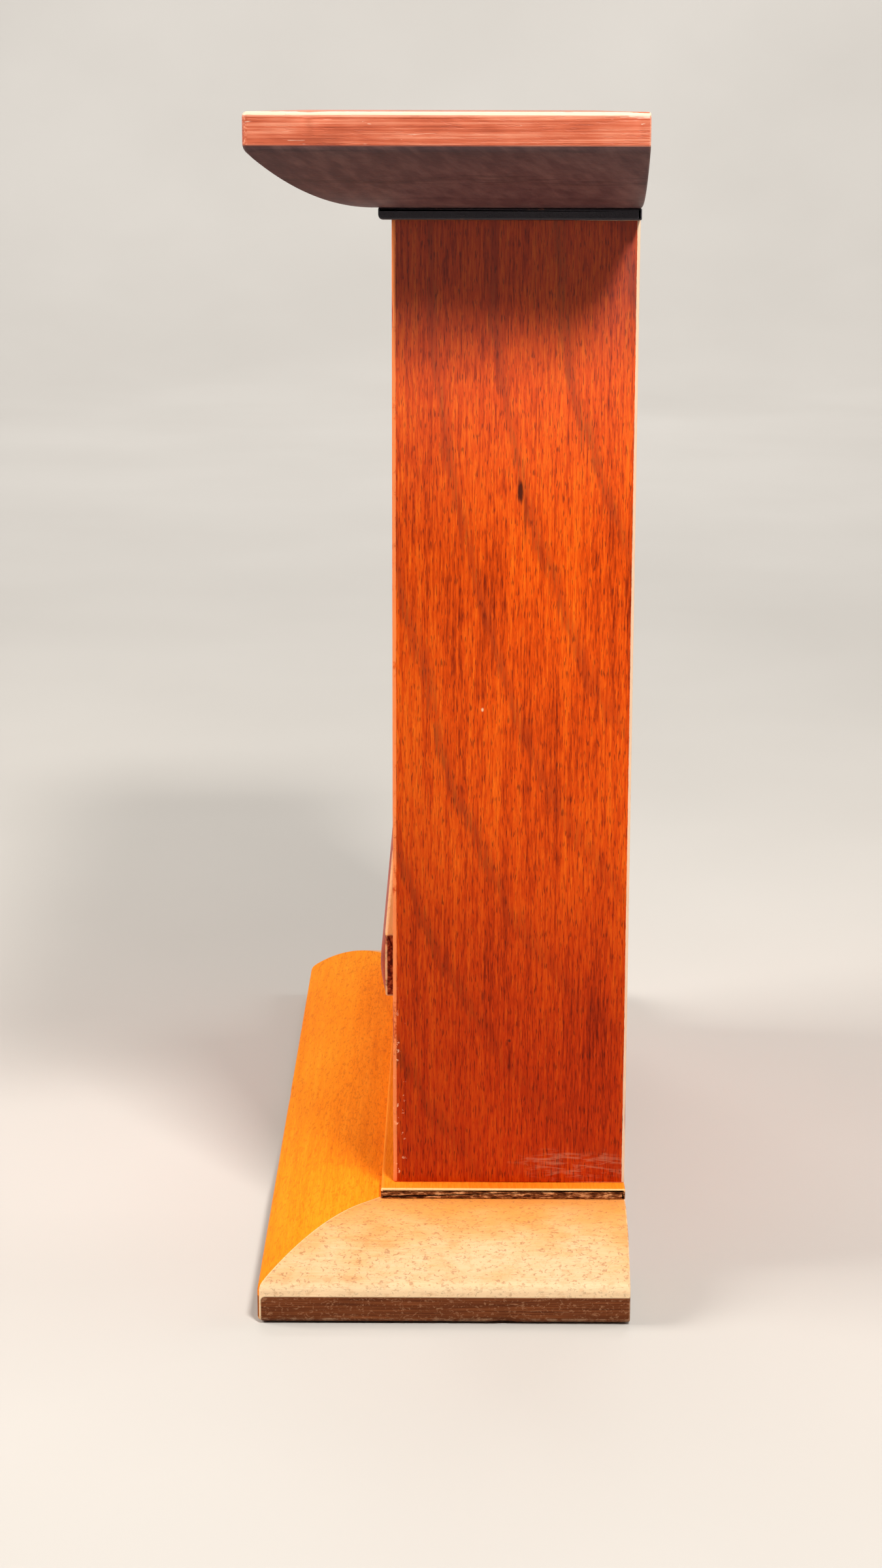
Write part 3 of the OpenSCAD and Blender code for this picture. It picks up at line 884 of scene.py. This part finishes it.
def make_fillet_board(node, material, lower_r, upper_r):
    lo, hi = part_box(node)
    corners = [(lo.y, lo.z), (hi.y, lo.z), (hi.y, hi.z), (lo.y, hi.z)]
    section = Section(eased_outline(corners, [lower_r, 0.3 * MM, 0.3 * MM, upper_r]))
    stations = straight_stations(lo.x, hi.x, 0.45 * MM, 2.0 * MM)
    mesh = sweep(f"{node}_eased", section, stations, lambda s, u, v: Vector((s, u, v)), 0.25 * MM, 9.0)
    link_piece(f"{node}_eased", mesh, node, "fillet_wood", material)


def make_rail(material):
    """Crowned front: thickest along the middle, thinner at the long edges and the ends."""
    edge_t, crown, fall = 7 * MM, 1.4 * MM, 5 * MM
    half_h = (RAIL_HI.z - RAIL_LO.z) / 2
    mid_z = (RAIL_HI.z + RAIL_LO.z) / 2
    level = RAIL_HI.x - fall
    corners = [(-edge_t, -half_h), (0, -half_h), (0, half_h), (-edge_t, half_h)]
    points = eased_outline(corners, [0.6 * MM] * 4)
    front = [(-edge_t, half_h * (1 - i / 8), 0.0) for i in range(2, 15)]
    section = Section(points + front)

    def place(s, u, v):
        end = max(0.0, abs(s) - level) / fall
        bulge = crown * (1 - (v / half_h) ** 2) * (1 - end**2)
        share = min(1.0, max(0.0, -u / edge_t))
        return Vector((s, RAIL_HI.y + u - bulge * share, mid_z + v))

    stations = straight_stations(RAIL_LO.x, RAIL_HI.x, 0.4 * MM, 2.0 * MM)
    mesh = sweep("rail_bar", section, stations, place, 0.2 * MM, 12.0)
    link_piece("rail_bar", mesh, "retaining_rail", "rail_wood", material)


def make_eased_copy(node, name, slot, material, width):
    """The CAD board with its sharp edges eased."""
    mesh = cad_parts[node].data.copy()
    mesh.name = name
    mesh.materials.clear()
    bm = bmesh.new()
    bm.from_mesh(mesh)
    bmesh.ops.remove_doubles(bm, verts=bm.verts, dist=1e-6)
    bmesh.ops.dissolve_limit(bm, angle_limit=math.radians(1), verts=bm.verts, edges=bm.edges)
    sharp = [e for e in bm.edges if len(e.link_faces) == 2 and e.calc_face_angle() > BEVEL_ABOVE]
    long_sharp = [e for e in sharp if e.calc_length() > 4 * MM]
    layer = bm.faces.layers.float.new("edge")
    made = bmesh.ops.bevel(bm, geom=long_sharp, offset=width, segments=3, profile=0.5, affect="EDGES")
    for face in made["faces"]:
        face[layer] = 1.0
        face.smooth = True
    bm.to_mesh(mesh)
    bm.free()
    link_piece(name, mesh, node, slot, material)


def dress(node, material):
    """Gives a CAD node that stays in view its finish."""
    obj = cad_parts[node]
    obj.data.materials.clear()
    obj.data.materials.append(material)


# ---------------------------------------------------------------- the object

make_side_panels()
make_mouldings(
    "base",
    BASE_LO.z,
    1,
    moulding_section(BASE_BAND, BASE_ROUND_W, BASE_RISE, BASE_BEND),
    ("moulding_wood", "side_moulding_wood"),
    (
        base_front_material(),
        base_side_material("base_left_wood", 33),
        base_side_material("base_right_wood", 7),
    ),
)
make_mouldings(
    "cornice",
    CORNICE_HI.z,
    -1,
    moulding_section(CORNICE_BAND, CORNICE_ROUND_W, CORNICE_RISE, CORNICE_BEND),
    ("cornice_wood", "cornice_wood"),
    (
        cornice_material("cornice_front_wood", "x", 51),
        cornice_material("cornice_left_wood", "y", 57),
        cornice_material("cornice_right_wood", "y", 43),
    ),
)
make_fillet_board("base_fillet_board", base_fillet_material(), 0.4 * MM, 0.5 * MM)
make_fillet_board("cornice_fillet_board", cornice_fillet_material(), 1.2 * MM, 0.3 * MM)
make_rail(rail_material())
make_eased_copy("back_panel", "back_board", "panel_wood", back_panel_material(), 0.4 * MM)
for level, seed in (("base", 71), ("cornice", 77)):
    core_wood = core_material(f"{level}_core_wood", seed)
    make_eased_copy(f"{level}_core_board", f"{level}_core", "core_wood", core_wood, 0.35 * MM)

beech = dowel_material()
for dowels in ("base_moulding_dowels", "cornice_moulding_dowels", "cornice_panel_dowels", "rail_dowels"):
    dress(dowels, beech)
zinc = metal_material("screw_zinc", (0.42, 0.42, 0.43), (0.72, 0.72, 0.73), (900, 900, 40))
brass = metal_material("screw_brass", (0.46, 0.30, 0.09), (0.78, 0.58, 0.26), (900, 40, 900))
dress("base_panel_screws", zinc)
dress("back_panel_screws", brass)
dress("felt_pads", felt_material())


# ---------------------------------------------------------------- stage


def make_cove():
    """Pale floor that curves up into a round wall."""
    floor_r, bend, wall = 2.3, 0.9, 3.2
    outline = [(0.0, 0.0), (floor_r * 0.5, 0.0), (floor_r, 0.0)]
    for i in range(1, 13):
        angle = math.radians(90 * i / 12)
        outline.append((floor_r + bend * math.sin(angle), bend * (1 - math.cos(angle))))
    outline.append((floor_r + bend, wall))
    turns = 96
    verts, faces = [], []
    for r, z in outline:
        for k in range(turns):
            angle = 2 * math.pi * k / turns
            verts.append((r * math.cos(angle), r * math.sin(angle), z))
    for ring in range(len(outline) - 1):
        low, high = ring * turns, (ring + 1) * turns
        for k in range(turns):
            following = (k + 1) % turns
            faces.append((low + k, low + following, high + following, high + k))
    mesh = bpy.data.meshes.new("cove")
    mesh.from_pydata(verts, [], faces)
    for polygon in mesh.polygons:
        polygon.use_smooth = True
    cove = bpy.data.objects.new("cove", mesh)
    bpy.context.scene.collection.objects.link(cove)
    s = Surface("cove_paint")
    mottle = s.noise((3, 3, 3), detail=3, rough=0.5)
    paint = s.ramp(mottle, (0.3, (0.50, 0.48, 0.455)), (0.7, (0.54, 0.52, 0.495)))
    mesh.materials.append(s.finish(paint, mottle * 0.1 + 0.6, mottle, 0.01 * MM, specular=0.2))


def make_lights():
    world = bpy.data.worlds.new("studio")
    world.use_nodes = True
    world.node_tree.nodes["Background"].inputs["Color"].default_value = (0.80, 0.90, 1.0, 1.0)
    world.node_tree.nodes["Background"].inputs["Strength"].default_value = 0.06
    bpy.context.scene.world = world
    aim = (0.05, 0.0, 0.12)
    softbox("key", (0.65, 0.26, 1.01), (0.11, 0.04, 0.20), (0.18, 0.18), 14.0, (1.0, 0.96, 0.90))
    softbox("front_fill", (0.05, -1.0, 0.80), aim, (0.6, 0.5), 14, (1.0, 0.95, 0.88))
    softbox("back_rim", (-0.2, 1.1, 0.8), aim, (0.5, 0.5), 4, (1.0, 0.97, 0.93))
    softbox("wall_wash", (-1.6, 0.0, 2.2), (-2.9, 0.0, 0.3), (1.6, 0.6), 62, (1.0, 0.98, 0.95))


make_cove()
make_lights()
set_tone()
make_camera()
